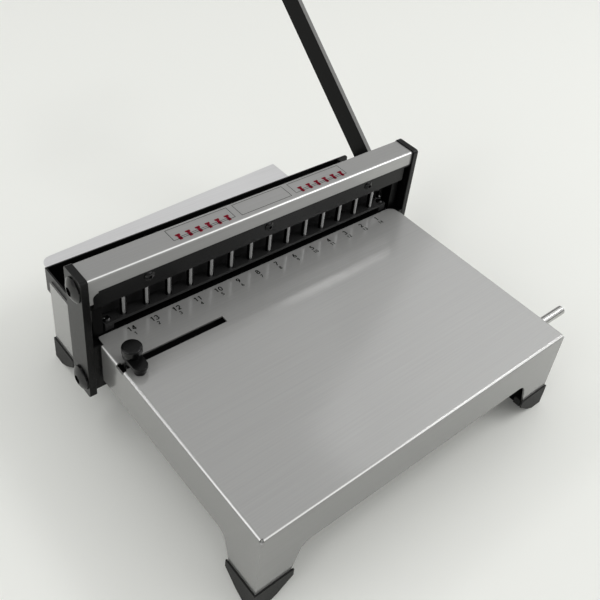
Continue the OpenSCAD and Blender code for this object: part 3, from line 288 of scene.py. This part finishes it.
# Strokes of plain figures in a cell 0.6 wide and 1 high
FIGURES = {
    "0": [loop(0.3, 0.5, 0.26, 0.46)],
    "1": [line((0.12, 0.78), (0.34, 0.97)), line((0.34, 1), (0.34, 0))],
    "2": [np.vstack([curve(0.3, 0.72, 0.25, 0.25, 170, -40), [(0.06, 0.04)]]),
          line((0.04, 0.05), (0.57, 0.05))],
    "3": [curve(0.28, 0.74, 0.23, 0.22, 160, -90), curve(0.28, 0.27, 0.27, 0.25, 90, -160)],
    "4": [line((0.42, 0), (0.42, 1)), line((0.42, 1), (0.02, 0.3)), line((0.02, 0.28), (0.6, 0.28))],
    "5": [line((0.54, 0.95), (0.14, 0.95)), line((0.14, 0.95), (0.1, 0.52)),
          curve(0.28, 0.3, 0.27, 0.28, 130, -150)],
    "6": [loop(0.3, 0.28, 0.25, 0.25), curve(0.62, 0.28, 0.57, 0.7, 180, 110)],
    "7": [line((0.04, 0.95), (0.58, 0.95)), line((0.58, 0.95), (0.2, 0))],
    "8": [loop(0.3, 0.74, 0.21, 0.22), loop(0.3, 0.27, 0.26, 0.25)],
    "9": [loop(0.3, 0.72, 0.25, 0.25), curve(-0.02, 0.72, 0.57, 0.7, 0, -70)],
}
# A figure's pitch and stroke as shares of its height
FIGURE_PITCH, FIGURE_STROKE = 0.78, 0.2

LIFT = 0.06  # height of a print above its sheet, mm
PITCH, PINS, TABLE_MIDDLE = 22.0, 14, 174
PIN_X = TABLE_MIDDLE + PITCH * (np.arange(PINS) - (PINS - 1) / 2)

# Numbers in front of the punches: the rear row counts down to the right, the front row up.
# Height of the figures and middle of the row, mm
REAR_ROW, FRONT_ROW = (5.2, 223.6), (3.6, 217.0)
paths, widths = [], []
for i, x in enumerate(PIN_X):
    for text, (high, middle) in ((str(PINS - i), REAR_ROW), (str(i + 1), FRONT_ROW)):
        wide = FIGURE_PITCH * high
        for k, figure in enumerate(text):
            left = x - wide * len(text) / 2 + k * wide
            for stroke in FIGURES[figure]:
                paths.append(stroke * high + (left, middle - high / 2))
                widths.append(FIGURE_STROKE * high)
piece("scale_print", *strips(paths, widths, LIFT), ink, "base", "black_paint")

# Panels on the cover: thin frames from x0 to x1 and y0 to y1, and rows of little punches in red
PANELS = ((76.5, 138.5, 231.2, 246), (145, 200.5, 230, 246.2), (207, 269, 231.2, 246))
FRAME_LINE = 0.5
SIGN_STARTS, SIGN_PITCH, SIGNS = (83.0, 214.6), 9.85, 6
SIGN_LINE_Y = 233.2
# A sign's stem from its foot to its top, its head and its collar: half lengths, places and widths
STEM_Y, STEM_W = (229.3, 236), 2.9
HEAD_HALF, HEAD_Y, HEAD_W = 2.3, 236.2, 2.2
COLLAR_HALF, COLLAR_Y, COLLAR_W = 1.9, 231.4, 1.4
COVER_LO, COVER_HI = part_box("head_cover")
COVER_Z = (COVER_HI.z - ORIGIN[2]) / MM + LIFT
paths = []
for x0, x1, y0, y1 in PANELS:
    corners = [(x0, y0), (x1, y0), (x1, y1), (x0, y1), (x0, y0)]
    paths += [corners[k:k + 2] for k in range(4)]
paths += [[(x, SIGN_LINE_Y), (x + (SIGNS - 1) * SIGN_PITCH, SIGN_LINE_Y)] for x in SIGN_STARTS]
frames = strips(paths, [FRAME_LINE] * len(paths), COVER_Z)
piece("panel_frames", *frames, ink, "base", "black_paint")
paths, widths = [], []
for first in SIGN_STARTS:
    for x in first + SIGN_PITCH * np.arange(SIGNS):
        paths += [[(x, STEM_Y[0]), (x, STEM_Y[1])],
                  [(x - HEAD_HALF, HEAD_Y), (x + HEAD_HALF, HEAD_Y)],
                  [(x - COLLAR_HALF, COLLAR_Y), (x + COLLAR_HALF, COLLAR_Y)]]
        widths += [STEM_W, HEAD_W, COLLAR_W]
piece("panel_punches", *strips(paths, widths, COVER_Z + LIFT), red_ink, "base", "black_paint")

# Painted shade: a thin black band along the lower edge of the cover's front lip, clear of its round
# corner, for the dark lower edge of the lip
LIP_H, LIP_CORNER, LIP_SHADE_BAND = 16.0, 8.8, 1.8
lip_x0, lip_y, _ = (np.array(COVER_LO) - ORIGIN) / MM
lip_x1, _, lip_top = (np.array(COVER_HI) - ORIGIN) / MM
band_z = lip_top - LIP_H + LIP_SHADE_BAND / 2
verts, faces = strips([[(lip_x0 + LIP_CORNER, band_z), (lip_x1, band_z)]], [LIP_SHADE_BAND], 0.0)
verts = np.column_stack([verts[:, 0], np.full(len(verts), lip_y - LIFT), verts[:, 1]])
piece("lip_painted_shade", verts, faces, black_paint, "base", "black_paint")

# Rounds of the broken edges, mm, and the angle from which an edge counts as sharp
EDGE_ROUNDS = {"left_end_plate": 0.8, "right_end_plate": 0.8, "clamp_strip": 0.4, "guide_bar": 0.4,
               "ram_bar": 0.5, "side_guide_arm": 0.4, "lever_arm": 0.6}
SHARP, FLAT = math.radians(35), math.radians(0.5)
SAME_POINT = 1e-6


def soften(name, width_mm):
    """Breaks a CAD node's sharp edges with a small round, as paint or a deburred sheet has."""
    obj = nodes[name]
    obj.modifiers.new("weld", "WELD").merge_threshold = SAME_POINT
    flat = obj.modifiers.new("flat", "DECIMATE")
    flat.decimate_type = "DISSOLVE"
    flat.angle_limit = FLAT
    bevel = obj.modifiers.new("edges", "BEVEL")
    bevel.width = width_mm * MM
    bevel.segments = 3
    bevel.limit_method = "ANGLE"
    bevel.angle_limit = SHARP
    bevel.harden_normals = True


for name, width_mm in EDGE_ROUNDS.items():
    soften(name, width_mm)

# Floor

FLOOR_HALF, FLOOR_COLOUR, FLOOR_GLOW = 6.0, "#f1f2ed", 0.04
floor_mesh = bpy.data.meshes.new("floor")
corners = ((-1, -1), (1, -1), (1, 1), (-1, 1))
floor_mesh.from_pydata([(FLOOR_HALF * x, FLOOR_HALF * y, 0) for x, y in corners], [], [(0, 1, 2, 3)])
floor = bpy.data.objects.new("floor", floor_mesh)
bpy.context.scene.collection.objects.link(floor)
floor_mat, floor_bsdf = shader("pale backdrop", FLOOR_COLOUR, 0.0, 0.9)
# The paper's own paleness, for the camera and for what mirrors it; shadows stay
seen = add(floor_mat, "ShaderNodeLightPath").outputs
direct = add(floor_mat, "ShaderNodeMath", {"operation": "MAXIMUM"},
             {0: seen["Is Camera Ray"], 1: seen["Is Glossy Ray"]})
either = add(floor_mat, "ShaderNodeMath", {"operation": "MAXIMUM"},
             {0: direct.outputs[0], 1: seen["Is Transmission Ray"]})
glow = add(floor_mat, "ShaderNodeMath", {"operation": "MULTIPLY", 1: FLOOR_GLOW}, {0: either.outputs[0]})
floor_bsdf.inputs["Emission Color"].default_value = linear(FLOOR_COLOUR)
floor_mat.node_tree.links.new(glow.outputs[0], floor_bsdf.inputs["Emission Strength"])
floor_mesh.materials.append(floor_mat)

# Light

# A soft room, bright overhead and dim at the horizon
HORIZON, ZENITH = 0.15, 0.62
world = bpy.data.worlds.new("soft room")
bpy.context.scene.world = world
world.use_nodes = True
sky = add(world, "ShaderNodeTexCoord")
height = add(world, "ShaderNodeSeparateXYZ", links={"Vector": sky.outputs["Generated"]})
level = add(world, "ShaderNodeMapRange", {"To Min": HORIZON, "To Max": ZENITH},
            {"Value": height.outputs["Z"]})
background = world.node_tree.nodes["Background"]
background.inputs["Color"].default_value = (1, 1, 1, 1)
world.node_tree.links.new(level.outputs["Result"], background.inputs["Strength"])

# The point that every lamp faces, metres
AIM = (0, 0, 0.05)


def put(obj, right, up, back, place):
    """Links an object in and sets its three axes and its place, metres."""
    bpy.context.scene.collection.objects.link(obj)
    m = np.eye(4)
    m[:3, 0], m[:3, 1], m[:3, 2], m[:3, 3] = right, up, back, place
    obj.matrix_world = Matrix(m.tolist())


def area_light(name, place, size, power):
    """A soft light, level across and tilted up and down, at place (metres); it faces the part."""
    data = bpy.data.lights.new(name, "AREA")
    data.shape = "RECTANGLE"
    data.size, data.size_y = size
    data.energy = power
    back = np.subtract(place, AIM)
    back /= np.linalg.norm(back)
    right = np.cross((0, 0, 1), back)
    right /= np.linalg.norm(right)
    put(bpy.data.objects.new(name, data), right, np.cross(back, right), back, place)


# Big soft lamps round the part, and two narrow ones whose light runs along the sheets' bends
area_light("key", (2.0, 0.2, 1.8), (2.0, 2.0), 10)
area_light("top", (0.45, 1.2, 1.9), (1.6, 1.6), 1.5)
area_light("fill", (-2.2, 0.1, 1.3), (2.0, 2.0), 18)
area_light("front", (1.2, -1.8, 1.6), (2.0, 2.0), 10)
area_light("front edge", (1.38, -0.85, 1.62), (1.0, 0.25), 8)
area_light("left edge", (-0.66, 1.19, 1.73), (1.0, 0.25), 4)

# Camera

# The photograph's camera: rows are image right, image down and forward; its eye is in table millimetres
VIEW = np.array([[0.74819473, -0.651559008, 0.125201861],
                 [-0.332005718, -0.531050594, -0.779588013],
                 [0.574436115, 0.541715909, -0.613650571]])
EYE_MM = (-209.812, -223.845, 513.894)
FOCAL_PX, CENTRE_PX, IMAGE_PX = 822.724, (340.0, 230.0), 600
SENSOR_MM = 36
cam_data = bpy.data.cameras.new("camera")
cam_data.sensor_width = SENSOR_MM
cam_data.lens = FOCAL_PX * SENSOR_MM / IMAGE_PX
cam_data.shift_x = (IMAGE_PX / 2 - CENTRE_PX[0]) / IMAGE_PX
cam_data.shift_y = (CENTRE_PX[1] - IMAGE_PX / 2) / IMAGE_PX
cam_data.clip_start, cam_data.clip_end = 0.01, 50
cam = bpy.data.objects.new("camera", cam_data)
put(cam, VIEW[0], -VIEW[1], -VIEW[2], row(EYE_MM))
bpy.context.scene.camera = cam
bpy.context.scene.view_settings.view_transform = "Standard"
